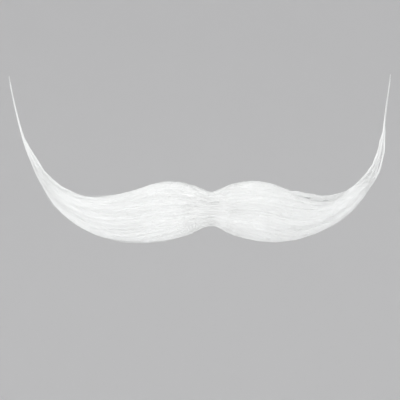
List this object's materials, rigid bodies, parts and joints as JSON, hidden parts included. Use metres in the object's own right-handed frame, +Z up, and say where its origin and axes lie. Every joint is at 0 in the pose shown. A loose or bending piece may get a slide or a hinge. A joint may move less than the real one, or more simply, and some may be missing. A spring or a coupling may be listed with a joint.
{
  "type": "fake moustache",
  "caption": "White handlebar moustache for dressing up: full combed wings that turn up into long thin tips, on a curved cloth backing worn on the upper lip.",
  "frame": {"origin": "on the back of the cloth backing, at the middle of the upper lip", "axes": "+X to the viewer's right along the lip, +Y into the face, +Z up; the hair faces -Y"},
  "size_m": [0.2055, 0.0378, 0.0901],
  "materials": {
    "hair": "white synthetic hair, combed smooth, soft sheen",
    "backing_cloth": "plain woven cloth, matt"
  },
  "bodies": {
    "root": {"lip_backing": "backing_cloth", "left_wing": "hair", "right_wing": "hair"}
  },
  "joints": []
}
